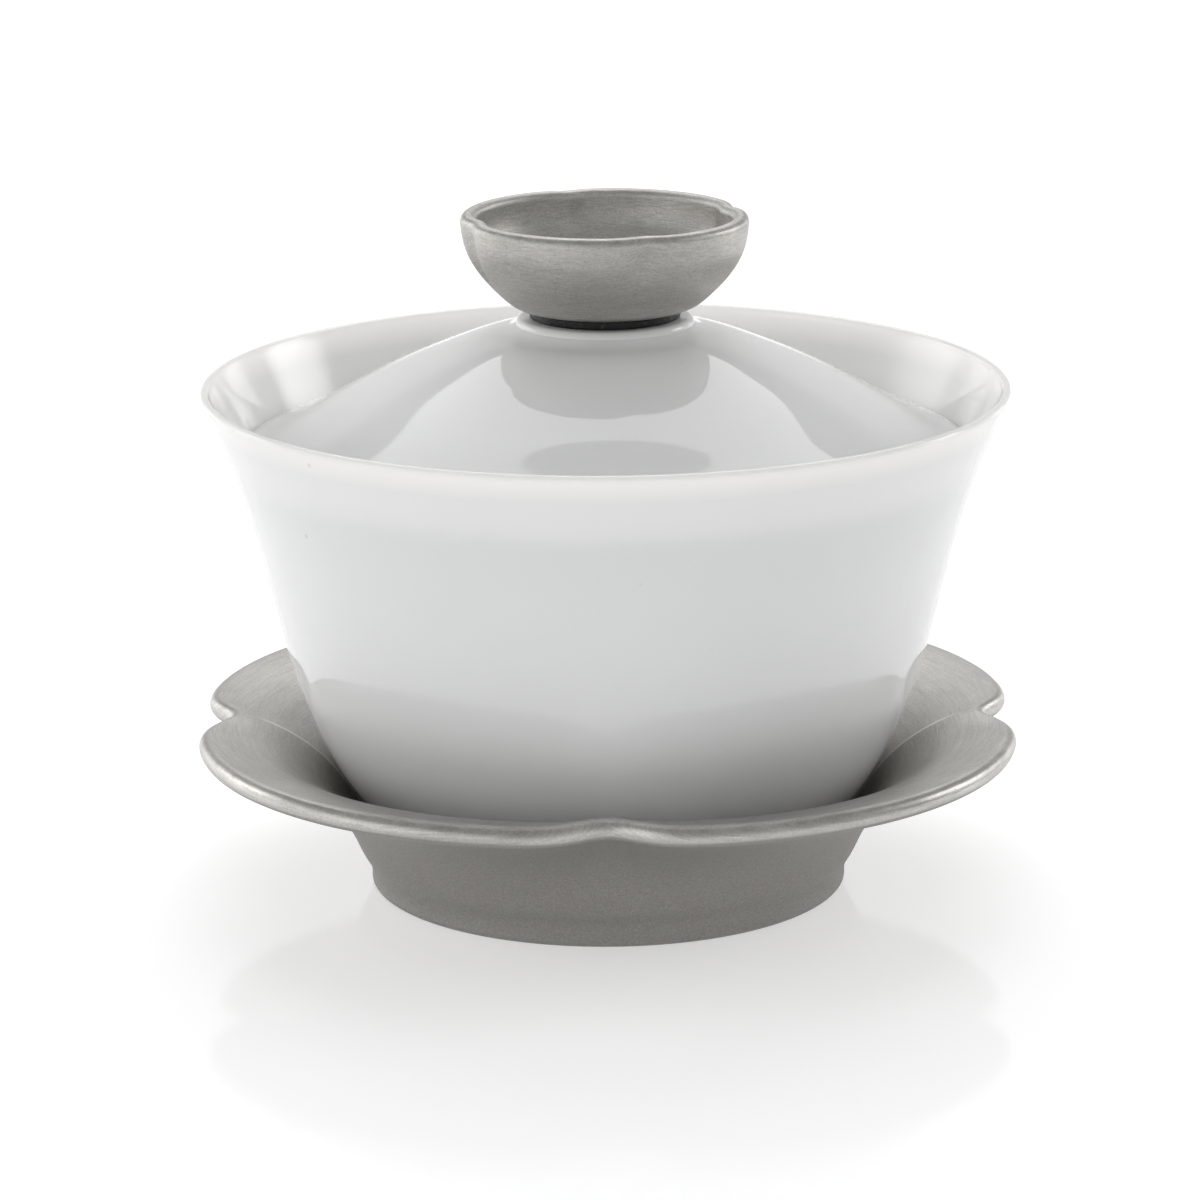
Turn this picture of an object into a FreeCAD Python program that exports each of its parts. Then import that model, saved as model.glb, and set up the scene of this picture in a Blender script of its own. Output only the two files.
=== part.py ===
"""Gaiwan: a lidded porcelain tea bowl on a four-petalled pewter saucer.

Millimetres. The origin is the centre of the saucer's foot on the table, +Z up.
Every profile is a list of (radius, height) pairs. The saucer and the knob have four lobes
each, so their profiles change with the angle; everything else is turned about Z.
"""

import FreeCAD, Part
import math
import os

Vector = FreeCAD.Vector
UP = Vector(0, 0, 1)
QUARTER = 90.0
HALF_LOBE = QUARTER / 2

# Saucer: cast pewter, four petals with raised creases between them
PETAL_OFFSET = 8.0             # from the axis to the centre of a petal's outline circle
PETAL_RADIUS = 45.2
PETAL_REACH = PETAL_OFFSET + PETAL_RADIUS
NOTCH_DEPTH = 3.15             # how far a notch cuts in past the meeting of two petals
NOTCH_WIDTH = 6.0              # degrees
NOTCH_SOFTNESS = 2.5           # degrees of rounding at the bottom of the notch
RIM_BEAD = 1.33                # radius of the rolled rim
RIM_TOP = 21.5
RIM_TILT_PETAL = 5.0           # slope of the wall where it meets the rim, degrees
RIM_TILT_NOTCH = 12.0
WELL_RADIUS = 24.0
WELL_FLOOR = 5.0
WELL_THICKNESS = 2.2
FOOT_RADIUS = 29.8
FOOT_EDGE = 0.6                # rounding of the foot's outer edge
FOOT_INNER_RADIUS = 27.3

# Bowl: porcelain, flared lip, ring foot
BOWL_RIM_RADIUS = 50.0
BOWL_RIM_TOP = 63.5
BOWL_LIP = 0.55                # radius of the rounded lip
BOWL_FOOT_OUTER = 22.2
BOWL_FOOT_INNER = 19.8
BOWL_FLOOR = 8.6
BOWL_UNDERSIDE = 6.3

# Lid: porcelain dome that rests inside the flared bowl
LID_EDGE_RADIUS = 45.1
LID_EDGE_BOTTOM = 54.6
LID_EDGE = 0.7                 # radius of the rounded edge
LID_EDGE_SLOPE = 27.0          # slope of the lid's wall at its edge, degrees
COLLAR_RADIUS = 11.0
COLLAR_TOP = 72.0
COLLAR_ROUND = 0.8
LID_SEAT = 68.0                # flat underside round the screw hole
LID_SEAT_RADIUS = 7.0
LID_HOLE_RADIUS = 2.4

# Knob: cast pewter cup with four soft lobes
GASKET_RADIUS = 9.3
GASKET_THICKNESS = 1.1
KNOB_BASE = COLLAR_TOP + GASKET_THICKNESS
KNOB_BASE_RADIUS = 9.6
KNOB_TURN = 62.0               # direction of the middle of the first lobe, degrees
KNOB_REACH = 17.85
KNOB_LOBE_OFFSET = 1.0
KNOB_NOTCH_DEPTH = 0.6
KNOB_NOTCH_WIDTH = 7.0         # degrees
KNOB_NOTCH_SOFTNESS = 3.5      # degrees
KNOB_TOP = 84.8
KNOB_RIM_BEAD = 1.0
KNOB_FLOOR = 77.6
KNOB_FLOOR_RADIUS = 6.0

# Screw that clamps the knob to the lid from below
SCREW_RADIUS = 2.0
THREAD_CLEARANCE = 0.05
THREAD_DEPTH = 3.3
SCREW_END_GAP = 0.4
SEAL_RADIUS = 5.2
SEAL_THICKNESS = 1.0
WASHER_RADIUS = 4.5
WASHER_THICKNESS = 0.8
WASHER_HOLE_RADIUS = 2.15
HEAD_RADIUS = 3.8
HEAD_HEIGHT = 2.4
HEAD_EDGE = 0.9
SOCKET_FLATS = 2.5
SOCKET_DEPTH = 1.5


def point(radius, height, angle=0.0):
    """A point at this radius and height, in the direction of this angle in degrees."""
    turn = math.radians(angle)
    return Vector(radius * math.cos(turn), radius * math.sin(turn), height)


def line(start, end):
    """A straight edge of a profile."""
    return Part.LineSegment(point(*start), point(*end)).toShape()


def curve(outline, angle=0.0):
    """A smooth edge of a profile through these points, in the direction of this angle."""
    spline = Part.BSplineCurve()
    spline.interpolate([point(radius, height, angle) for radius, height in outline])
    return spline.toShape()


def bead(start, middle, end):
    """A round edge of a profile through three points."""
    return Part.Arc(point(*start), point(*middle), point(*end)).toShape()


def turned(edges):
    """The solid that a closed profile sweeps in a full turn about Z."""
    return Part.Face(Part.Wire(edges)).revolve(Vector(), UP, 360)


def disc(radius, hole_radius, bottom, thickness):
    """A flat washer."""
    whole = Part.makeCylinder(radius, thickness, Vector(0, 0, bottom))
    return whole.cut(Part.makeCylinder(hole_radius, thickness, Vector(0, 0, bottom)))


def lobe_outline(angle, offset, radius):
    """Distance from the axis to one lobe's circle, at an angle from the lobe's middle."""
    turn = math.radians(angle)
    return offset * math.cos(turn) + math.sqrt(radius ** 2 - (offset * math.sin(turn)) ** 2)


def notch_shares(angle, offset, reach, depth, width, softness):
    """How far the rim and the crease have come from a lobe's middle (0) to the notch (1)."""
    circle = reach - offset
    meeting = lobe_outline(HALF_LOBE, offset, circle)
    from_notch = HALF_LOBE - abs(angle)
    softened = HALF_LOBE - from_notch ** 2 / math.hypot(from_notch, softness)
    rim_radius = lobe_outline(softened, offset, circle) - depth * math.exp(-(from_notch / width) ** 2)
    rim_share = (reach - rim_radius) / (reach - meeting + depth)
    crease_share = (reach - lobe_outline(angle, offset, circle)) / (reach - meeting)
    return rim_share, crease_share


def mixed(at_lobe, at_notch, share):
    """A value or a profile point part of the way from the lobe's to the notch's."""
    if isinstance(at_lobe, tuple):
        return tuple(mixed(a, b, share) for a, b in zip(at_lobe, at_notch))
    return at_lobe + share * (at_notch - at_lobe)


def round_rim(rim_radius, rim_top, bead_radius, tilt, steps=6):
    """Points round a rolled rim, from the wall's upper side over the edge to its lower side."""
    angles = [90 + tilt - step * 180.0 / steps for step in range(steps + 1)]
    return [(rim_radius - bead_radius + bead_radius * math.cos(math.radians(angle)),
             rim_top - bead_radius + bead_radius * math.sin(math.radians(angle)))
            for angle in angles]


# Angles from a lobe's middle at which its profile is laid out, closer together near the notches
LOBE_ANGLES = [0, 9, 18, 26, 32, 36, 39, 41, 42.5, 43.6, 44.4, 45]
LOBE_ANGLES = [-angle for angle in reversed(LOBE_ANGLES[1:])] + LOBE_ANGLES


def lobed(section, first_lobe):
    """A solid with four lobes, from a profile that changes with the angle from a lobe's middle.

    The profile runs from one flat end face to the other, so two flat faces close it.
    """
    skins = []
    for quarter in range(4):
        middle = first_lobe + quarter * QUARTER
        profiles = [Part.Wire(curve(section(angle), middle + angle)) for angle in LOBE_ANGLES]
        skins += Part.makeLoft(profiles, False, False).Faces
    ends = []
    for height in (section(0)[0][1], section(0)[-1][1]):
        rim = [edge for skin in skins for edge in skin.Edges
               if abs(edge.BoundBox.ZMax - height) < 1e-6 and abs(edge.BoundBox.ZMin - height) < 1e-6]
        ends.append(Part.Face(Part.Wire(Part.sortEdges(rim)[0])))
    closed = Part.makeCompound(skins + ends)
    closed.sewShape()
    solid = Part.Solid(closed.Shells[0])
    if solid.Volume < 0:
        solid.reverse()
    return solid


# (radius, height) of the saucer's upper side, from the well to the rim
PETAL_TOP = [(WELL_RADIUS, WELL_FLOOR), (28.0, 6.6), (32.2, 10.2), (36.6, 14.4), (41.4, 18.0), (46.4, 20.5)]
CREASE_TOP = [(WELL_RADIUS, WELL_FLOOR), (28.3, 7.0), (31.7, 10.6), (34.6, 14.6), (38.3, 17.9), (42.6, 20.3)]
# how far each of those points follows the sharp crease rather than the soft rim
CREASE_SHARPNESS = [1.0, 1.0, 1.0, 1.0, 0.8, 0.4]
# (radius, height) of its lower side, from the rim to the foot
PETAL_UNDERSIDE = [(47.8, 18.0), (42.0, 15.6), (37.0, 12.6), (33.8, 9.4), (32.0, 6.5)]
CREASE_UNDERSIDE = [(43.6, 18.0), (40.4, 16.3), (37.0, 13.6), (34.0, 10.2), (32.1, 6.7)]
FOOT_SIDE = [(31.0, 4.4), (30.1, 2.8), (FOOT_RADIUS, 1.3)]


def saucer_section(angle):
    """The saucer's profile at an angle from a petal's middle, from the well to the foot."""
    rim, crease = notch_shares(angle, PETAL_OFFSET, PETAL_REACH, NOTCH_DEPTH, NOTCH_WIDTH, NOTCH_SOFTNESS)
    meeting = lobe_outline(HALF_LOBE, PETAL_OFFSET, PETAL_RADIUS)
    outline = [mixed(petal, ridge, mixed(rim, crease, sharpness))
               for petal, ridge, sharpness in zip(PETAL_TOP, CREASE_TOP, CREASE_SHARPNESS)]
    outline += round_rim(mixed(PETAL_REACH, meeting - NOTCH_DEPTH, rim),
                         RIM_TOP, RIM_BEAD, mixed(RIM_TILT_PETAL, RIM_TILT_NOTCH, rim))
    outline += [mixed(petal, ridge, rim) for petal, ridge in zip(PETAL_UNDERSIDE, CREASE_UNDERSIDE)]
    outline += FOOT_SIDE
    outline += [(FOOT_RADIUS - FOOT_EDGE + FOOT_EDGE * math.cos(math.radians(turn)),
                 FOOT_EDGE - FOOT_EDGE * math.sin(math.radians(turn))) for turn in (0, 30, 60, 90)]
    return outline


def saucer():
    """Four scooped petals round a flat well, on a flared hollow foot."""
    roof = WELL_FLOOR - WELL_THICKNESS
    below = -1.0
    hollow = turned([line((0, below), (FOOT_INNER_RADIUS, below)),
                     line((FOOT_INNER_RADIUS, below), (FOOT_INNER_RADIUS, roof - 1.2)),
                     bead((FOOT_INNER_RADIUS, roof - 1.2), (FOOT_INNER_RADIUS - 0.35, roof - 0.35),
                          (FOOT_INNER_RADIUS - 1.2, roof)),
                     line((FOOT_INNER_RADIUS - 1.2, roof), (0, roof)),
                     line((0, roof), (0, below))])
    return lobed(saucer_section, HALF_LOBE).cut(hollow)


def bowl():
    """A thin bowl with a flared lip and a ring foot that stands in the saucer's well."""
    lip_inside = BOWL_RIM_RADIUS - 2 * BOWL_LIP
    lip_height = BOWL_RIM_TOP - BOWL_LIP
    outside = curve([(BOWL_RIM_RADIUS, lip_height), (48.4, 59.0), (46.35, 54.0), (43.8, 46.0),
                     (41.75, 38.0), (39.75, 30.0), (37.0, 22.0), (34.1, 16.0), (31.4, 12.0),
                     (28.6, 9.0), (25.4, 7.1), (BOWL_FOOT_OUTER, 6.2)])
    inside = curve([(lip_inside, lip_height), (46.9, 59.0), (44.75, 54.0), (42.1, 46.0),
                    (39.95, 38.0), (37.75, 30.0), (34.8, 22.0), (31.5, 16.0), (27.6, 11.6),
                    (22.5, 9.2), (17.0, BOWL_FLOOR)])
    lip = bead((lip_inside, lip_height), (BOWL_RIM_RADIUS - BOWL_LIP, BOWL_RIM_TOP),
               (BOWL_RIM_RADIUS, lip_height))
    foot_edge = 0.35
    foot = [line((BOWL_FOOT_OUTER, 6.2), (BOWL_FOOT_OUTER, WELL_FLOOR + foot_edge)),
            line((BOWL_FOOT_OUTER, WELL_FLOOR + foot_edge), (BOWL_FOOT_OUTER - foot_edge, WELL_FLOOR)),
            line((BOWL_FOOT_OUTER - foot_edge, WELL_FLOOR), (BOWL_FOOT_INNER + foot_edge, WELL_FLOOR)),
            line((BOWL_FOOT_INNER + foot_edge, WELL_FLOOR), (BOWL_FOOT_INNER, WELL_FLOOR + foot_edge)),
            line((BOWL_FOOT_INNER, WELL_FLOOR + foot_edge), (BOWL_FOOT_INNER, BOWL_UNDERSIDE)),
            line((BOWL_FOOT_INNER, BOWL_UNDERSIDE), (0, BOWL_UNDERSIDE))]
    axis = line((0, BOWL_UNDERSIDE), (0, BOWL_FLOOR))
    floor = line((0, BOWL_FLOOR), (17.0, BOWL_FLOOR))
    return turned([outside] + foot + [axis, floor, inside, lip])


def lid():
    """A domed lid with a raised collar round its screw hole."""
    edge_top, edge_tip, edge_under = [
        (LID_EDGE_RADIUS - LID_EDGE + LID_EDGE * math.cos(math.radians(turn - LID_EDGE_SLOPE)),
         LID_EDGE_BOTTOM + LID_EDGE + LID_EDGE * math.sin(math.radians(turn - LID_EDGE_SLOPE)))
        for turn in (90, 0, -90)]
    collar_foot = (COLLAR_RADIUS, COLLAR_TOP - COLLAR_ROUND)
    collar_bevel = COLLAR_ROUND * (1 - math.sqrt(0.5))
    collar = bead(collar_foot, (COLLAR_RADIUS - collar_bevel, COLLAR_TOP - collar_bevel),
                  (COLLAR_RADIUS - COLLAR_ROUND, COLLAR_TOP))
    outside = curve([edge_top, (42.2, 57.1), (39.4, 58.4), (34.3, 61.1), (27.4, 64.8),
                     (20.3, 67.9), (14.0, 70.0), (11.6, 70.75), collar_foot])
    inside = curve([edge_under, (41.6, 55.8), (38.6, 57.2), (33.3, 59.7), (26.2, 63.0),
                    (19.2, 65.7), (12.5, 67.5), (LID_SEAT_RADIUS, LID_SEAT)])
    return turned([bead(edge_under, edge_tip, edge_top), outside, collar,
                   line((COLLAR_RADIUS - COLLAR_ROUND, COLLAR_TOP), (LID_HOLE_RADIUS, COLLAR_TOP)),
                   line((LID_HOLE_RADIUS, COLLAR_TOP), (LID_HOLE_RADIUS, LID_SEAT)),
                   line((LID_HOLE_RADIUS, LID_SEAT), (LID_SEAT_RADIUS, LID_SEAT)),
                   inside])


# (radius, height) of the knob's outside from its base to the rim, in the middle of a lobe,
# and of its inside from the rim to the floor of the cup
KNOB_SIDE = [(KNOB_BASE_RADIUS, KNOB_BASE), (11.6, 73.75), (13.2, 75.0), (15.15, 77.0),
             (16.65, 79.1), (17.5, 81.2)]
KNOB_SIDE_DEPTH = [0.0, 0.1, 0.3, 0.7, 1.15, 1.35]
KNOB_CUP = [(15.55, 82.0), (14.7, 80.0), (12.9, 78.5), (9.9, 77.75), (KNOB_FLOOR_RADIUS, KNOB_FLOOR)]
KNOB_CUP_DEPTH = [0.85, 0.6, 0.35, 0.1, 0.0]


def knob_section(angle):
    """The knob's profile at an angle from a lobe's middle, from its base over the rim to the cup."""
    rim, _ = notch_shares(angle, KNOB_LOBE_OFFSET, KNOB_REACH, KNOB_NOTCH_DEPTH,
                          KNOB_NOTCH_WIDTH, KNOB_NOTCH_SOFTNESS)
    inward = rim * (KNOB_REACH + KNOB_NOTCH_DEPTH
                    - lobe_outline(HALF_LOBE, KNOB_LOBE_OFFSET, KNOB_REACH - KNOB_LOBE_OFFSET))
    outline = [(radius - inward * depth, height)
               for (radius, height), depth in zip(KNOB_SIDE, KNOB_SIDE_DEPTH)]
    outline += reversed(round_rim(KNOB_REACH - inward, KNOB_TOP, KNOB_RIM_BEAD, 90.0))
    outline += [(radius - inward * depth, height)
                for (radius, height), depth in zip(KNOB_CUP, KNOB_CUP_DEPTH)]
    return outline


def lid_knob():
    """A four-lobed cup that serves as the lid's handle and holds the lid when it is upturned."""
    tapped_hole = Part.makeCylinder(SCREW_RADIUS + THREAD_CLEARANCE, THREAD_DEPTH, Vector(0, 0, KNOB_BASE))
    return lobed(knob_section, KNOB_TURN).cut(tapped_hole)


def knob_gasket():
    """The rubber ring between the pewter knob and the porcelain collar."""
    return disc(GASKET_RADIUS, LID_HOLE_RADIUS, COLLAR_TOP, GASKET_THICKNESS)


def screw_seal():
    """The soft washer that seals the screw hole under the lid."""
    return disc(SEAL_RADIUS, WASHER_HOLE_RADIUS, LID_SEAT - SEAL_THICKNESS, SEAL_THICKNESS)


WASHER_BOTTOM = LID_SEAT - SEAL_THICKNESS - WASHER_THICKNESS


def knob_screw_washer():
    """The steel washer that spreads the screw's load over the seal."""
    return disc(WASHER_RADIUS, WASHER_HOLE_RADIUS, WASHER_BOTTOM, WASHER_THICKNESS)


def knob_screw():
    """A pan-head screw with a hexagon socket, up through the lid into the knob."""
    bottom = WASHER_BOTTOM - HEAD_HEIGHT
    tip = KNOB_BASE + THREAD_DEPTH - SCREW_END_GAP
    crown = HEAD_EDGE * (1 - math.sqrt(0.5))
    body = turned([line((0, bottom), (HEAD_RADIUS - HEAD_EDGE, bottom)),
                   bead((HEAD_RADIUS - HEAD_EDGE, bottom), (HEAD_RADIUS - crown, bottom + crown),
                        (HEAD_RADIUS, bottom + HEAD_EDGE)),
                   line((HEAD_RADIUS, bottom + HEAD_EDGE), (HEAD_RADIUS, WASHER_BOTTOM)),
                   line((HEAD_RADIUS, WASHER_BOTTOM), (SCREW_RADIUS, WASHER_BOTTOM)),
                   line((SCREW_RADIUS, WASHER_BOTTOM), (SCREW_RADIUS, tip - 0.4)),
                   line((SCREW_RADIUS, tip - 0.4), (SCREW_RADIUS - 0.4, tip)),
                   line((SCREW_RADIUS - 0.4, tip), (0, tip)),
                   line((0, tip), (0, bottom))])
    corner = SOCKET_FLATS / 2 / math.cos(math.radians(30))
    hexagon = Part.makePolygon([point(corner, bottom - 1, 60 * k) for k in range(7)])
    socket = Part.Face(hexagon).extrude(Vector(0, 0, SOCKET_DEPTH + 1))
    return body.cut(socket)


PIECES = [saucer, bowl, lid, knob_gasket, lid_knob, screw_seal, knob_screw_washer, knob_screw]

os.makedirs("parts", exist_ok=True)
for piece in PIECES:
    shape = piece()
    if shape.ShapeType == "Compound":
        shape = shape.Solids[0]
    shape.exportStep(f"parts/{piece.__name__}.step")
    print(f"{piece.__name__:18s} valid {shape.isValid()}  solids {len(shape.Solids)}  "
          f"volume {shape.Volume:9.1f} mm3")
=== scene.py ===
"""The looks of the gaiwan: porcelain bowl and lid, pewter saucer and knob, on a pale floor.

Profiles are lists of (radius, height) in millimetres in the frame's own axes, like the design
they stand for, and become metres when a mesh is made.
"""

import math

import bpy
import numpy as np
from mathutils import Matrix

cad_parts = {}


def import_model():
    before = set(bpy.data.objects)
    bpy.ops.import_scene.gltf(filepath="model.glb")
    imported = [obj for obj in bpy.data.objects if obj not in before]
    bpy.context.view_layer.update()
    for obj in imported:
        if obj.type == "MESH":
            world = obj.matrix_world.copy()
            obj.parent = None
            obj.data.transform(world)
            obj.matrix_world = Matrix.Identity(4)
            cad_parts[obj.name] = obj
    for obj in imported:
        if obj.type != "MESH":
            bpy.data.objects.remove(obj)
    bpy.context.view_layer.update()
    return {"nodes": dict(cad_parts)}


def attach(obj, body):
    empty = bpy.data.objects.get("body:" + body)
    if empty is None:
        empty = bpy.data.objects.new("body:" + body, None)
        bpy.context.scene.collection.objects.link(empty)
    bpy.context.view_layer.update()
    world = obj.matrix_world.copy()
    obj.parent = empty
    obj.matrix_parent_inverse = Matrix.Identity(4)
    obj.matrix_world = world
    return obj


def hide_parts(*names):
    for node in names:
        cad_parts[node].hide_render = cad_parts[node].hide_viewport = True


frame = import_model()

MM = 0.001
QUARTER = 90.0
HALF_LOBE = QUARTER / 2
ON_AXIS = 1e-6                # a smaller radius counts as the axis
SHARP_EDGE = 40               # degrees between faces from which an edge is shaded sharp
ROUND_STEPS = 288             # columns of points round the bowl and the lid
GASKET_STEPS = 160


# ---------------------------------------------------------------- profiles

def direction(angle):
    """Cosine and sine of an angle in degrees."""
    return math.cos(math.radians(angle)), math.sin(math.radians(angle))


def smooth_line(outline, steps=8):
    """Points along the natural cubic spline through an outline's points."""
    known = np.array(outline, float)
    gaps = np.linalg.norm(np.diff(known, axis=0), axis=1)
    count = len(known)
    matrix = np.eye(count)
    target = np.zeros_like(known)
    for i in range(1, count - 1):
        matrix[i, i - 1:i + 2] = gaps[i - 1], 2 * (gaps[i - 1] + gaps[i]), gaps[i]
        target[i] = 6 * ((known[i + 1] - known[i]) / gaps[i] - (known[i] - known[i - 1]) / gaps[i - 1])
    bend = np.linalg.solve(matrix, target)
    points = []
    for i in range(count - 1):
        for step in range(steps):
            b = step / steps
            a = 1 - b
            points.append(a * known[i] + b * known[i + 1]
                          + ((a ** 3 - a) * bend[i] + (b ** 3 - b) * bend[i + 1]) * gaps[i] ** 2 / 6)
    points.append(known[-1])
    return [tuple(p) for p in points]


def arc(centre, radius, start, end, steps=6):
    """Points on a circle round a centre, from one direction to another in degrees."""
    angles = [start + (end - start) * step / steps for step in range(steps + 1)]
    return [(centre[0] + radius * direction(a)[0], centre[1] + radius * direction(a)[1]) for a in angles]


def straight(start, end, steps=4):
    """Evenly spaced points on a straight line, without its last point."""
    return [tuple(s + (e - s) * i / steps for s, e in zip(start, end)) for i in range(steps)]


def mixed(at_lobe, at_notch, share):
    """A value or a profile point part of the way from a lobe's to a notch's."""
    if isinstance(at_lobe, tuple):
        return tuple(mixed(a, b, share) for a, b in zip(at_lobe, at_notch))
    return at_lobe + share * (at_notch - at_lobe)


# ---------------------------------------------------------------- meshes

def turned_mesh(name, section, angles):
    """A closed mesh round Z, from the profile at each angle.

    A profile that starts on the axis also ends on it; any other profile is a closed loop.
    """
    sections = [section(angle) for angle in angles]
    rows = len(sections[0])
    on_axis = [radius < ON_AXIS for radius, _ in sections[0]]
    closed_loop = not on_axis[0]
    vertices = []
    index = {}
    for row in range(rows):
        for column, angle in enumerate(angles):
            if on_axis[row] and column:
                index[row, column] = index[row, 0]
                continue
            radius, height = sections[column][row]
            x, y = direction(angle)
            index[row, column] = len(vertices)
            vertices.append((radius * x * MM, radius * y * MM, height * MM))
    faces = []
    for row in range(rows if closed_loop else rows - 1):
        below = (row + 1) % rows
        for column in range(len(angles)):
            beside = (column + 1) % len(angles)
            corners = [index[row, column], index[below, column], index[below, beside], index[row, beside]]
            faces.append(list(dict.fromkeys(corners)))
    mesh = bpy.data.meshes.new(name)
    mesh.from_pydata(vertices, [], faces)
    mesh.shade_smooth()
    mesh.set_sharp_from_angle(angle=math.radians(SHARP_EDGE))
    piece = bpy.data.objects.new(name, mesh)
    bpy.context.scene.collection.objects.link(piece)
    return piece


def even_angles(count):
    """Evenly spaced angles all the way round."""
    return [360.0 * i / count for i in range(count)]


def lobe_angles(first_lobe, per_half=34, crowding=1.7):
    """Angles all the way round, closer together near the notches between four lobes."""
    half = [HALF_LOBE * (1 - (1 - i / per_half) ** crowding) for i in range(per_half + 1)]
    one_lobe = [-angle for angle in reversed(half[1:])] + half[:-1]
    return [first_lobe + quarter * QUARTER + angle for quarter in range(4) for angle in one_lobe]


def place(piece, body, node, material):
    """Puts a finished piece on its body in place of its CAD node."""
    piece.data.materials.append(material)
    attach(piece, body)
    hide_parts(node)


# ---------------------------------------------------------------- lobed outlines

def lobe_outline(angle, offset, radius):
    """Distance from the axis to one lobe's circle, at an angle from the lobe's middle."""
    x, y = direction(angle)
    return offset * x + math.sqrt(radius ** 2 - (offset * y) ** 2)


def notch_shares(angle, offset, reach, depth, width, softness):
    """How far the rim and the crease have come from a lobe's middle (0) to the notch (1)."""
    circle = reach - offset
    meeting = lobe_outline(HALF_LOBE, offset, circle)
    from_notch = HALF_LOBE - abs(angle)
    softened = HALF_LOBE - from_notch ** 2 / math.hypot(from_notch, softness)
    rim_radius = lobe_outline(softened, offset, circle) - depth * math.exp(-(from_notch / width) ** 2)
    rim_share = (reach - rim_radius) / (reach - meeting + depth)
    crease_share = (reach - lobe_outline(angle, offset, circle)) / (reach - meeting)
    return rim_share, crease_share


def from_middle(angle, first_lobe):
    """The angle from the nearest lobe's middle."""
    return (angle - first_lobe + HALF_LOBE) % QUARTER - HALF_LOBE


# ---------------------------------------------------------------- saucer

PETAL_OFFSET = 8.0
PETAL_RADIUS = 45.2
PETAL_REACH = PETAL_OFFSET + PETAL_RADIUS
NOTCH_DEPTH = 3.15
NOTCH_WIDTH = 6.0
NOTCH_SOFTNESS = 2.5
RIM_BEAD = 1.33
RIM_TOP = 21.5
RIM_TILT_PETAL = 5.0
RIM_TILT_NOTCH = 12.0
WELL_RADIUS = 24.0
WELL_FLOOR = 5.0
WELL_ROOF = 2.8
ROOF_ROUND = 1.2
ROOF_RING = 25.3              # outermost ring of points on the flat roof inside the foot
FOOT_RADIUS = 29.8
FOOT_INNER_RADIUS = 27.3
FOOT_ROUND = 0.6
FOOT_INNER_ROUND = 0.4
# (radius, height) from the well outwards, along a petal's middle and along a crease
PETAL_TOP = [(WELL_RADIUS, WELL_FLOOR), (28.0, 6.6), (32.2, 10.2), (36.6, 14.4), (41.4, 18.0), (46.4, 20.5)]
CREASE_TOP = [(WELL_RADIUS, WELL_FLOOR), (28.3, 7.0), (31.7, 10.6), (34.6, 14.6), (38.3, 17.9), (42.6, 20.3)]
# at each point of the two: 1 is a sharp crease, 0 follows the rim's softened notch
CREASE_SHARPNESS = [1.0, 1.0, 1.0, 1.0, 0.8, 0.4]
PETAL_UNDERSIDE = [(47.8, 18.0), (42.0, 15.6), (37.0, 12.6), (33.8, 9.4), (32.0, 6.5)]
CREASE_UNDERSIDE = [(43.6, 18.0), (40.4, 16.3), (37.0, 13.6), (34.0, 10.2), (32.1, 6.7)]
FOOT_SIDE = [(31.0, 4.4), (30.1, 2.8), (FOOT_RADIUS, 1.3), (FOOT_RADIUS, FOOT_ROUND)]


def saucer_section(angle):
    """The saucer's profile: well, petal, rim, underside, foot and the roof inside the foot."""
    angle = from_middle(angle, HALF_LOBE)
    rim, crease = notch_shares(angle, PETAL_OFFSET, PETAL_REACH, NOTCH_DEPTH, NOTCH_WIDTH, NOTCH_SOFTNESS)
    meeting = lobe_outline(HALF_LOBE, PETAL_OFFSET, PETAL_RADIUS)
    reach = mixed(PETAL_REACH, meeting - NOTCH_DEPTH, rim)
    tilt = mixed(RIM_TILT_PETAL, RIM_TILT_NOTCH, rim)
    bead = arc((reach - RIM_BEAD, RIM_TOP - RIM_BEAD), RIM_BEAD, 90 + tilt, tilt - 90, 12)
    inside = [mixed(petal, groove, mixed(rim, crease, sharpness))
              for petal, groove, sharpness in zip(PETAL_TOP, CREASE_TOP, CREASE_SHARPNESS)]
    outside = [mixed(petal, groove, rim) for petal, groove in zip(PETAL_UNDERSIDE, CREASE_UNDERSIDE)]
    outline = straight((0, WELL_FLOOR), inside[0], 6)
    outline += smooth_line(inside + bead[:1])[:-1]
    outline += bead[:-1]
    outline += smooth_line(bead[-1:] + outside + FOOT_SIDE)[:-1]
    outline += arc((FOOT_RADIUS - FOOT_ROUND, FOOT_ROUND), FOOT_ROUND, 0, -90, 4)
    outline += arc((FOOT_INNER_RADIUS + FOOT_INNER_ROUND, FOOT_INNER_ROUND), FOOT_INNER_ROUND, -90, -180, 4)
    outline += arc((FOOT_INNER_RADIUS - ROOF_ROUND, WELL_ROOF - ROOF_ROUND), ROOF_ROUND, 0, 90, 6)
    outline += straight((ROOF_RING, WELL_ROOF), (0, WELL_ROOF), 4) + [(0, WELL_ROOF)]
    return outline


# ---------------------------------------------------------------- bowl and lid

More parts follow.
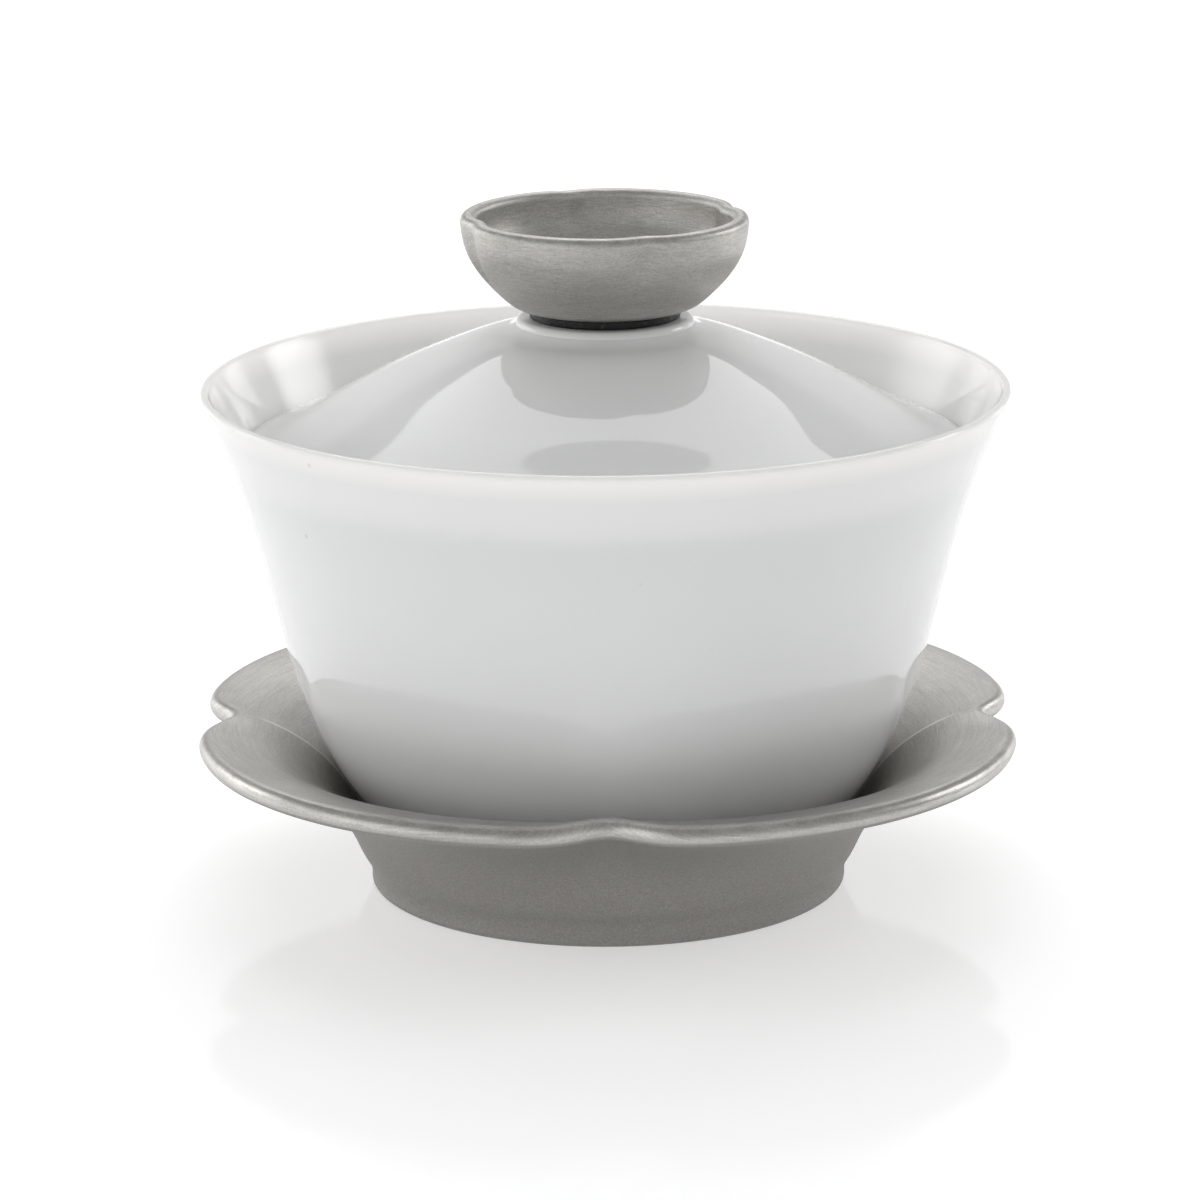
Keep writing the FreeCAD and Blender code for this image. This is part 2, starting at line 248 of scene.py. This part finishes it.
BOWL_RADIUS = 50.0
LIP_BEAD = 0.55
LIP_HEIGHT = 62.95            # centre of the lip's round edge
BOWL_FLOOR = 8.6
BOWL_FLOOR_RADIUS = 17.0
BOWL_FOOT_RADIUS = 22.2
BOWL_FOOT_INNER_RADIUS = 19.8
BOWL_FOOT_ROUND = 0.35
BOWL_ROOF = 6.3
BOWL_ROOF_ROUND = 0.5
BOWL_OUTSIDE = [(BOWL_RADIUS, LIP_HEIGHT), (48.4, 59.0), (46.35, 54.0), (43.8, 46.0), (41.75, 38.0),
                (39.75, 30.0), (37.0, 22.0), (34.1, 16.0), (31.4, 12.0), (28.6, 9.0), (25.4, 7.1),
                (BOWL_FOOT_RADIUS, 6.2)]
BOWL_INSIDE = [(BOWL_RADIUS - 2 * LIP_BEAD, LIP_HEIGHT), (46.9, 59.0), (44.75, 54.0), (42.1, 46.0),
               (39.95, 38.0), (37.75, 30.0), (34.8, 22.0), (31.5, 16.0), (27.6, 11.6), (22.5, 9.2),
               (BOWL_FLOOR_RADIUS, BOWL_FLOOR)]


def bowl_section(_):
    """The bowl's profile: inside, lip, outside, foot ring and the roof inside the ring."""
    inside = straight((0, BOWL_FLOOR), (BOWL_FLOOR_RADIUS, BOWL_FLOOR), 4)
    inside += smooth_line(BOWL_INSIDE[::-1])[:-1]
    lip = arc((BOWL_RADIUS - LIP_BEAD, LIP_HEIGHT), LIP_BEAD, 180, 0, 10)[:-1]
    foot_height = WELL_FLOOR + BOWL_FOOT_ROUND
    ring = arc((BOWL_FOOT_RADIUS - BOWL_FOOT_ROUND, foot_height), BOWL_FOOT_ROUND, 0, -90, 3)
    ring += arc((BOWL_FOOT_INNER_RADIUS + BOWL_FOOT_ROUND, foot_height), BOWL_FOOT_ROUND, -90, -180, 3)
    roof_corner = (BOWL_FOOT_INNER_RADIUS - BOWL_ROOF_ROUND, BOWL_ROOF - BOWL_ROOF_ROUND)
    roof = arc(roof_corner, BOWL_ROOF_ROUND, 0, 90, 3)
    roof += straight((BOWL_FOOT_INNER_RADIUS - 2 * BOWL_ROOF_ROUND, BOWL_ROOF), (0, BOWL_ROOF), 3)
    return inside + lip + smooth_line(BOWL_OUTSIDE) + ring + roof + [(0, BOWL_ROOF)]


LID_EDGE = (44.4, 55.3)
LID_EDGE_BEAD = 0.7
LID_EDGE_SLOPE = 27.0
COLLAR_RADIUS = 11.0
COLLAR_ROUND = 0.8
COLLAR_TOP = 72.0
BORE_RADIUS = 2.4
SEAT_RADIUS = 7.0
SEAT_HEIGHT = 68.0
LID_OUTSIDE = [(42.2, 57.1), (39.4, 58.4), (34.3, 61.1), (27.4, 64.8), (20.3, 67.9), (14.0, 70.0),
               (11.6, 70.75), (COLLAR_RADIUS, COLLAR_TOP - COLLAR_ROUND)]
LID_INSIDE = [(SEAT_RADIUS, SEAT_HEIGHT), (12.5, 67.5), (19.2, 65.7), (26.2, 63.0), (33.3, 59.7),
              (38.6, 57.2), (41.6, 55.8)]


def lid_section(_):
    """The lid's profile: edge, dome, collar, the screw's bore, the seal's seat and the underside."""
    edge = arc(LID_EDGE, LID_EDGE_BEAD, -90 - LID_EDGE_SLOPE, 90 - LID_EDGE_SLOPE, 8)
    outline = edge[:-1] + smooth_line(edge[-1:] + LID_OUTSIDE)[:-1]
    outline += arc((COLLAR_RADIUS - COLLAR_ROUND, COLLAR_TOP - COLLAR_ROUND), COLLAR_ROUND, 0, 90, 8)
    outline += straight((COLLAR_RADIUS - 1.5 * COLLAR_ROUND, COLLAR_TOP), (BORE_RADIUS, COLLAR_TOP), 3)
    outline += straight((BORE_RADIUS, COLLAR_TOP), (BORE_RADIUS, SEAT_HEIGHT), 3)
    outline += straight((BORE_RADIUS, SEAT_HEIGHT), (SEAT_RADIUS, SEAT_HEIGHT), 3)
    return outline + smooth_line(LID_INSIDE + edge[:1])[:-1]


# ---------------------------------------------------------------- knob and gasket

KNOB_TURN = 62.0
KNOB_REACH = 17.85
KNOB_OFFSET = 1.0
KNOB_NOTCH_DEPTH = 0.6
KNOB_NOTCH_WIDTH = 7.0
KNOB_NOTCH_SOFTNESS = 3.5
KNOB_BASE = 73.1
KNOB_BASE_RADIUS = 9.6
KNOB_TOP = 84.8
KNOB_BEAD = 1.0
KNOB_FLOOR = 77.6
KNOB_FLOOR_RADIUS = 6.0
# the side from the base up and the cup from the rim down, each with its share of the notch's depth
KNOB_SIDE = [(KNOB_BASE_RADIUS, KNOB_BASE), (11.6, 73.75), (13.2, 75.0), (15.15, 77.0), (16.65, 79.1),
             (17.5, 81.2)]
KNOB_SIDE_DEPTH = [0.0, 0.1, 0.3, 0.7, 1.15, 1.35]
KNOB_CUP = [(15.55, 82.0), (14.7, 80.0), (12.9, 78.5), (9.9, 77.75), (KNOB_FLOOR_RADIUS, KNOB_FLOOR)]
KNOB_CUP_DEPTH = [0.85, 0.6, 0.35, 0.1, 0.0]
GASKET_RADIUS = 9.3
GASKET_ROUND = 0.25
GASKET_FLAT = 8.9             # outermost ring of points on its flat faces


def knob_section(angle):
    """The knob's profile: base, side, rim and cup, drawn in at the notches between its lobes."""
    angle = from_middle(angle, KNOB_TURN)
    rim, _ = notch_shares(angle, KNOB_OFFSET, KNOB_REACH, KNOB_NOTCH_DEPTH, KNOB_NOTCH_WIDTH,
                          KNOB_NOTCH_SOFTNESS)
    meeting = lobe_outline(HALF_LOBE, KNOB_OFFSET, KNOB_REACH - KNOB_OFFSET)
    inward = rim * (KNOB_REACH + KNOB_NOTCH_DEPTH - meeting)
    bead = arc((KNOB_REACH - inward - KNOB_BEAD, KNOB_TOP - KNOB_BEAD), KNOB_BEAD, 0, 180, 14)
    side, cup = ([(radius - inward * share, height) for (radius, height), share in zip(points, depths)]
                 for points, depths in ((KNOB_SIDE, KNOB_SIDE_DEPTH), (KNOB_CUP, KNOB_CUP_DEPTH)))
    outline = straight((0, KNOB_BASE), (KNOB_BASE_RADIUS, KNOB_BASE), 3)
    outline += smooth_line(side + bead[:1])[:-1] + bead[:-1] + smooth_line(bead[-1:] + cup)[:-1]
    return outline + straight((KNOB_FLOOR_RADIUS, KNOB_FLOOR), (0, KNOB_FLOOR), 5) + [(0, KNOB_FLOOR)]


def gasket_section(_):
    """The gasket's profile, which fills the gap between the lid's collar and the knob's base."""
    middle = GASKET_RADIUS - GASKET_ROUND
    outline = arc((middle, COLLAR_TOP + GASKET_ROUND), GASKET_ROUND, -90, 0, 4)
    outline += arc((middle, KNOB_BASE - GASKET_ROUND), GASKET_ROUND, 0, 90, 4)
    outline += straight((GASKET_FLAT, KNOB_BASE), (BORE_RADIUS, KNOB_BASE), 3)
    outline += straight((BORE_RADIUS, KNOB_BASE), (BORE_RADIUS, COLLAR_TOP), 2)
    return outline + straight((BORE_RADIUS, COLLAR_TOP), (GASKET_FLAT, COLLAR_TOP), 3)


# ---------------------------------------------------------------- materials

GLAZE = (0.91, 0.915, 0.905, 1)
GLAZE_PALE = (0.935, 0.94, 0.932, 1)
# painted shade: darker glaze on the bowl's flare and the lid's edge
FLARE_PAINTED_SHADE = (0.80, 0.806, 0.80, 1)
# painted glow: warm tone near the lip for light shining through the thin porcelain
LIP_PAINTED_GLOW = (0.97, 0.935, 0.915, 1)
BARE_LIP = (0.93, 0.89, 0.83, 1)
SPECK = (0.45, 0.4, 0.34, 1)
PEWTER_DARK = (0.37, 0.36, 0.34, 1)
PEWTER_LIGHT = (0.58, 0.567, 0.538, 1)
# painted highlight along the saucer's creases
CREASE_PAINTED_HIGHLIGHT = (0.88, 0.87, 0.85, 1)
BLASTED_DARK = (0.28, 0.272, 0.257, 1)
BLASTED_LIGHT = (0.37, 0.36, 0.342, 1)
RUBBER = (0.006, 0.006, 0.007, 1)
RUBBER_DUST = (0.09, 0.09, 0.095, 1)
SILICONE = (0.72, 0.72, 0.70, 1)
SILICONE_PALE = (0.82, 0.82, 0.80, 1)
STEEL_DARK = (0.5, 0.5, 0.5, 1)
STEEL_LIGHT = (0.62, 0.62, 0.62, 1)

# where each local finish or painted light begins and where it is full, in metres: heights, and distances
# from the axis or, for the crease's width, from the crease. The flare's darkening is painted shade, the
# lip's warmth a painted glow and the crease's line a painted highlight
FLARE_HEIGHTS = (0.030, 0.062)
FLARE_RADII = (0.0380, 0.0470)
LIP_HEIGHTS = (0.0600, 0.0628)
LIP_RADII = (0.0455, 0.0475)
BARE_HEIGHTS = (0.06315, 0.06335)
BARE_RADII = (0.0475, 0.0485)
CREASE_WIDTHS = (0.00045, 0.00015)
CREASE_OUTER_RADII = (0.0445, 0.0415)
CREASE_INNER_RADII = (0.0285, 0.0315)
BLASTED_HEIGHTS = (0.0175, 0.0165)
POLISHED_HEIGHTS = (0.0185, 0.0200)
# brush marks: cells of noise in a metre across them, and in the radius of one turn along them
BRUSH_TRAVEL = 5200.0
BRUSH_TURN = 10.0


class Surface:
    """A new material with a Principled shader, and short calls to add nodes to it."""

    def __init__(self, name):
        self.material = bpy.data.materials.new(name)
        self.material.use_nodes = True
        self.tree = self.material.node_tree
        self.shader = self.tree.nodes["Principled BSDF"]
        self.place = self.add("TexCoord").outputs["Object"]

    def add(self, kind, inputs=None, **settings):
        node = self.tree.nodes.new("ShaderNode" + kind)
        for key, value in settings.items():
            setattr(node, key, value)
        for key, value in (inputs or {}).items():
            self.put(node.inputs[key], value)
        return node

    def put(self, socket, value):
        if isinstance(value, bpy.types.NodeSocket):
            self.tree.links.new(value, socket)
        else:
            socket.default_value = value

    def set(self, **inputs):
        for key, value in inputs.items():
            self.put(self.shader.inputs[key.replace("_", " ")], value)

    def math(self, operation, *values):
        node = self.add("Math", operation=operation)
        for socket, value in zip(node.inputs, values):
            self.put(socket, value)
        return node.outputs[0]

    def noise(self, vector, scale, detail=3.0, roughness=0.5):
        return self.add("TexNoise", {"Vector": vector, "Scale": scale, "Detail": detail,
                                     "Roughness": roughness}).outputs["Fac"]

    def spots(self, scale):
        """Distance to the nearest of many scattered points."""
        return self.add("TexVoronoi", {"Vector": self.place, "Scale": scale}).outputs["Distance"]

    def ramp(self, value, low, high, low_out=0.0, high_out=1.0):
        return self.add("MapRange", {"Value": value, "From Min": low, "From Max": high,
                                     "To Min": low_out, "To Max": high_out}).outputs["Result"]

    def blend(self, share, first, second):
        node = self.add("Mix", data_type="RGBA")
        self.put(node.inputs[0], share)
        self.put(node.inputs[6], first)
        self.put(node.inputs[7], second)
        return node.outputs[2]

    def bump(self, height, distance, strength=1.0, under=None):
        inputs = {"Height": height, "Distance": distance, "Strength": strength}
        if under is not None:
            inputs["Normal"] = under
        return self.add("Bump", inputs).outputs["Normal"]

    def polar(self):
        """Sockets with the distance from the axis, the height, and a unit vector round the axis."""
        parts = self.add("SeparateXYZ", {"Vector": self.place}).outputs
        flat = self.add("CombineXYZ", {"X": parts["X"], "Y": parts["Y"], "Z": 0.0}).outputs[0]
        radius = self.add("VectorMath", {0: flat}, operation="LENGTH").outputs["Value"]
        around = self.add("VectorMath", {0: flat}, operation="NORMALIZE").outputs["Vector"]
        return radius, parts["Z"], around


def porcelain():
    """Clear gloss glaze over white porcelain, thin towards the lip, where a warm tone is painted in for the
    glow of light shining through it.

    The bowl's flare, inside and out, and with it the lid's edge are painted darker than the rest: painted
    shade. Real
    porcelain is one white all over: this only evens out the wall's brightness under this scene's
    lights, so under other lights it is better left out.
    """
    s = Surface("porcelain")
    radius, height, _ = s.polar()
    mottle = s.ramp(s.noise(s.place, 35.0, 2.0), 0.35, 0.65)
    body = s.blend(mottle, GLAZE, GLAZE_PALE)
    # painted shade: the flare, inside and out, and the lid's edge are darker than the rest of the glaze
    flare = s.math("MULTIPLY", s.ramp(height, *FLARE_HEIGHTS), s.ramp(radius, *FLARE_RADII))
    body = s.blend(flare, body, FLARE_PAINTED_SHADE)
    # painted glow: near the lip the glaze turns warm, in place of light shining through the thin wall; the
    # same mask raises the subsurface weight
    near_lip = s.math("MULTIPLY", s.ramp(height, *LIP_HEIGHTS), s.ramp(radius, *LIP_RADII))
    body = s.blend(near_lip, body, LIP_PAINTED_GLOW)
    bare_line = s.math("MULTIPLY", s.ramp(height, *BARE_HEIGHTS), s.ramp(radius, *BARE_RADII))
    body = s.blend(s.math("MULTIPLY", bare_line, 0.6), body, BARE_LIP)
    body = s.blend(s.ramp(s.spots(90.0), 0.02, 0.035, 0.3, 0.0), body, SPECK)
    pits = s.ramp(s.spots(420.0), 0.05, 0.16)
    s.set(Base_Color=body, Roughness=s.ramp(s.noise(s.place, 60.0), 0.3, 0.7, 0.03, 0.07),
          IOR=1.52, Subsurface_Weight=s.ramp(near_lip, 0.0, 1.0, 0.4, 0.8),
          Subsurface_Radius=(1.0, 0.95, 0.9), Subsurface_Scale=0.005)
    waves = s.bump(s.noise(s.place, 45.0, 1.0), 0.00008)
    pitted = s.bump(pits, 0.000002, under=waves)
    s.set(Normal=s.bump(s.noise(s.place, 900.0, 2.0), 0.000001, under=pitted))
    return s.material


def pewter(name, saucer=False):
    """Satin pewter with brush marks that run round the axis.

    The saucer has a painted highlight, a thin bright line, along the creases between its petals, and its
    underside and foot keep the casting's duller blasted grain.
    """
    s = Surface(name)
    radius, height, around = s.polar()
    marks = brushed_round(s, radius, height, around)
    fine = s.noise(marks, 1.0, 5.0, 0.75)
    broad = s.noise(marks, 0.12, 2.0)
    grain = s.noise(s.place, 3600.0, 3.0, 0.7)
    cloud = s.noise(s.place, 70.0, 3.0)
    tone = s.math("ADD", s.math("MULTIPLY", fine, 0.45), s.math("MULTIPLY", broad, 0.1))
    tone = s.math("MULTIPLY_ADD", cloud, 0.15, s.math("MULTIPLY_ADD", grain, 0.3, tone))
    colour = s.blend(s.ramp(tone, 0.40, 0.60), PEWTER_DARK, PEWTER_LIGHT)
    roughness = s.ramp(tone, 0.3, 0.7, 0.5, 0.38)
    brushing = s.bump(fine, 0.00005, 0.7)
    normal = s.bump(grain, 0.00002, 0.4, under=brushing)
    if saucer:
        # painted highlight: a thin bright line along the creases between the petals, on their upward-facing
        # side
        ends = s.add("SeparateXYZ", {"Vector": s.place}).outputs
        off_crease = s.math("MINIMUM", s.math("ABSOLUTE", ends["X"]), s.math("ABSOLUTE", ends["Y"]))
        crease = s.math("MULTIPLY", s.ramp(off_crease, *CREASE_WIDTHS), s.ramp(radius, *CREASE_OUTER_RADII))
        facing = s.add("SeparateXYZ", {"Vector": s.add("NewGeometry").outputs["Normal"]}).outputs["Z"]
        crease = s.math("MULTIPLY", crease, s.ramp(facing, 0.1, 0.3))
        crease = s.math("MULTIPLY", crease, s.ramp(radius, *CREASE_INNER_RADII))
        colour = s.blend(s.math("MULTIPLY", crease, 0.7), colour, CREASE_PAINTED_HIGHLIGHT)
        sand = s.math("MAXIMUM", s.ramp(facing, -0.35, -0.6), s.ramp(height, *BLASTED_HEIGHTS))
        sand = s.math("MULTIPLY", sand, s.ramp(facing, 0.25, 0.05))
        roughness = s.math("ADD", roughness, s.ramp(height, *POLISHED_HEIGHTS, 0.0, -0.12))
        speckle = s.ramp(s.noise(s.place, 3400.0, 3.0, 0.7), 0.35, 0.7)
        colour = s.blend(sand, colour, s.blend(speckle, BLASTED_DARK, BLASTED_LIGHT))
        roughness = s.math("MULTIPLY_ADD", sand, 0.12, roughness)
        normal = s.bump(s.math("MULTIPLY", speckle, sand), 0.00003, 0.5, under=normal)
    s.set(Base_Color=colour, Roughness=roughness, Metallic=1.0, Normal=normal, Anisotropic=0.5)
    s.set(Tangent=s.add("Tangent", direction_type="RADIAL", axis="Z").outputs[0])
    return s.material


def brushed_round(s, radius, height, around):
    """Coordinates that hardly change round the axis, so that marks run round it."""
    travel = s.math("MULTIPLY", s.math("ADD", radius, height), BRUSH_TRAVEL)
    flat = s.add("VectorMath", {0: around, "Scale": BRUSH_TURN}, operation="SCALE").outputs[0]
    along = s.add("CombineXYZ", {"Z": travel}).outputs[0]
    return s.add("VectorMath", {0: flat, 1: along}, operation="ADD").outputs[0]


def rubber():
    """Black moulded rubber with a sparkle of dust in its grain."""
    s = Surface("black_rubber")
    grain = s.noise(s.place, 1800.0, 4.0, 0.7)
    s.set(Base_Color=s.blend(s.ramp(grain, 0.58, 0.72), RUBBER, RUBBER_DUST),
          Roughness=s.ramp(grain, 0.4, 0.7, 0.5, 0.22), Specular_IOR_Level=0.3)
    s.set(Normal=s.bump(grain, 0.00012))
    return s.material


def silicone():
    """Milky silicone, slightly uneven."""
    s = Surface("silicone")
    cloud = s.noise(s.place, 500.0)
    s.set(Base_Color=s.blend(cloud, SILICONE, SILICONE_PALE),
          Roughness=s.ramp(cloud, 0.3, 0.7, 0.35, 0.5), Subsurface_Weight=0.3, Subsurface_Scale=0.001)
    s.set(Normal=s.bump(cloud, 0.00002))
    return s.material


def stainless():
    """Turned stainless steel with fine rings round the axis."""
    s = Surface("stainless_steel")
    radius, height, around = s.polar()
    rings = s.noise(brushed_round(s, radius, height, around), 1.5, 3.0)
    s.set(Base_Color=s.blend(rings, STEEL_DARK, STEEL_LIGHT), Metallic=1.0,
          Roughness=s.ramp(rings, 0.3, 0.7, 0.2, 0.32))
    s.set(Normal=s.bump(rings, 0.00003))
    return s.material


# ---------------------------------------------------------------- the object

glazed = porcelain()
satin_pewter = pewter("pewter")
cast_pewter = pewter("cast_pewter", saucer=True)
steel = stainless()

saucer_petals = turned_mesh("saucer_petals", saucer_section, lobe_angles(HALF_LOBE))
place(saucer_petals, "saucer", "saucer", cast_pewter)
bowl_body = turned_mesh("bowl_body", bowl_section, even_angles(ROUND_STEPS))
place(bowl_body, "bowl", "bowl", glazed)
lid_dome = turned_mesh("lid_dome", lid_section, even_angles(ROUND_STEPS))
place(lid_dome, "lid", "lid", glazed)
knob_cup = turned_mesh("knob_cup", knob_section, lobe_angles(KNOB_TURN))
place(knob_cup, "lid", "lid_knob", satin_pewter)
gasket_ring = turned_mesh("gasket_ring", gasket_section, even_angles(GASKET_STEPS))
place(gasket_ring, "lid", "knob_gasket", rubber())

# the seal, washer and screw keep the design's own meshes
for node, material in (("screw_seal", silicone()), ("knob_screw_washer", steel), ("knob_screw", steel)):
    frame["nodes"][node].data.materials.clear()
    frame["nodes"][node].data.materials.append(material)


# ---------------------------------------------------------------- floor, light, camera

FLOOR_HALF_SIZE = 3.0
FLOOR_COLOUR = (0.93, 0.93, 0.935, 1)
FLOOR_GLOW_NEAR = 0.4         # the floor's own light round the object's foot
FLOOR_GLOW_FAR = 0.37
GLOW_RADII = (0.045, 0.11)
SOFTBOX_CENTRE = (-0.01, 0.72, 0.8)
SOFTBOX_DIAMETER = 0.96
SOFTBOX_POWER = 3.8
SKY_HIGH = 0.44
# a direction's Z, between which the low sky gives way to the high sky
LOW_SKY_EDGE = (0.38, 0.50)
# low sky in front, behind, on the left and on the right: axis, the direction's share along it where
# the area begins and where it is full, strength
SKY_SIDES = [("Y", 0.1, -0.4, 0.58), ("Y", -0.1, 0.6, 0.76),
             ("X", -0.3, -0.8, 0.85), ("X", 0.3, 0.8, 0.1)]
# bright patches, in degrees: direction from +Y towards +X, elevation, distance from the middle to which
# it is full and at which it ends; strength
PATCHES = [(-62.0, 17.0, 2.5, 16.5, 1.4), (68.0, 19.0, 2.5, 14.5, 4.2),
           (-33.0, 5.0, 3.0, 9.0, 0.4), (38.0, 6.0, 3.0, 9.0, 1.0)]
CAMERA_PLACE = (0.0, -0.6445, 0.20565)
CAMERA_LENS = 160.2
CAMERA_SENSOR = 36.0
CAMERA_PAN = 0.075            # degrees
CAMERA_DOWN = 14.767
CAMERA_ROLL = -0.37


def floor():
    """A pale, slightly glossy floor that glows a little, so that it stays white at a distance."""
    size = FLOOR_HALF_SIZE
    corners = [(-size, -size, 0), (size, -size, 0), (size, size, 0), (-size, size, 0)]
    mesh = bpy.data.meshes.new("floor")
    mesh.from_pydata(corners, [], [(0, 1, 2, 3)])
    plane = bpy.data.objects.new("floor", mesh)
    bpy.context.scene.collection.objects.link(plane)
    s = Surface("floor")
    radius, _, _ = s.polar()
    s.set(Base_Color=FLOOR_COLOUR, Roughness=0.08, IOR=1.4, Emission_Color=(1, 1, 1, 1),
          Emission_Strength=s.ramp(radius, *GLOW_RADII, FLOOR_GLOW_NEAR, FLOOR_GLOW_FAR))
    mesh.materials.append(s.material)


def overhead_light():
    """A round softbox over and behind the object, facing straight down."""
    data = bpy.data.lights.new("softbox", "AREA")
    data.shape = "DISK"
    data.size = SOFTBOX_DIAMETER
    data.energy = SOFTBOX_POWER
    lamp = bpy.data.objects.new("softbox", data)
    lamp.location = SOFTBOX_CENTRE
    bpy.context.scene.collection.objects.link(lamp)


def world():
    """Soft surroundings: broad areas with a strength each, and a few soft-edged patches of light."""
    sky = bpy.data.worlds.new("studio")
    sky.use_nodes = True
    tree = sky.node_tree
    way = tree.nodes.new("ShaderNodeTexCoord").outputs["Generated"]
    split = tree.nodes.new("ShaderNodeSeparateXYZ")
    tree.links.new(way, split.inputs[0])

    def node_of(kind, values, **settings):
        node = tree.nodes.new("ShaderNode" + kind)
        for key, value in settings.items():
            setattr(node, key, value)
        for key, value in values.items():
            if isinstance(value, bpy.types.NodeSocket):
                tree.links.new(value, node.inputs[key])
            else:
                node.inputs[key].default_value = value
        return node

    def fade(value, low, high, low_out=0.0, high_out=1.0):
        return node_of("MapRange", {"Value": value, "From Min": low, "From Max": high, "To Min": low_out,
                                    "To Max": high_out}, interpolation_type="SMOOTHSTEP").outputs[0]

    low = fade(split.outputs["Z"], *LOW_SKY_EDGE, 1.0, 0.0)
    total = fade(split.outputs["Z"], *LOW_SKY_EDGE, 0.0, SKY_HIGH)
    for axis, start, end, strength in SKY_SIDES:
        side = fade(split.outputs[axis], start, end, 0.0, strength)
        total = node_of("Math", {0: side, 1: low, 2: total}, operation="MULTIPLY_ADD").outputs[0]
    for azimuth, elevation, inner, outer, strength in PATCHES:
        side, along = direction(90 - azimuth)
        flat, up = direction(elevation)
        aim = (side * flat, along * flat, up)
        close = node_of("VectorMath", {0: way, 1: aim}, operation="DOT_PRODUCT").outputs["Value"]
        patch = fade(close, direction(outer)[0], direction(inner)[0], 0.0, strength)
        total = node_of("Math", {0: patch, 1: total}, operation="ADD").outputs[0]
    background = tree.nodes["Background"]
    background.inputs["Color"].default_value = (1, 1, 1, 1)
    tree.links.new(total, background.inputs["Strength"])
    bpy.context.scene.world = sky


def camera():
    """A long lens a little above the object, looking down at it along +Y."""
    data = bpy.data.cameras.new("camera")
    data.sensor_width = CAMERA_SENSOR
    data.lens = CAMERA_LENS
    data.clip_start = 0.01
    data.clip_end = 20.0
    cam = bpy.data.objects.new("camera", data)
    cam.location = CAMERA_PLACE
    pan, pitch, roll = (Matrix.Rotation(math.radians(angle), 4, axis)
                        for angle, axis in ((CAMERA_PAN, "Z"), (90 - CAMERA_DOWN, "X"), (CAMERA_ROLL, "Z")))
    cam.rotation_mode = "QUATERNION"
    cam.rotation_quaternion = (pan @ pitch @ roll).to_quaternion()
    bpy.context.scene.collection.objects.link(cam)
    bpy.context.scene.camera = cam


camera()
floor()
world()
overhead_light()
bpy.context.scene.view_settings.view_transform = "Standard"
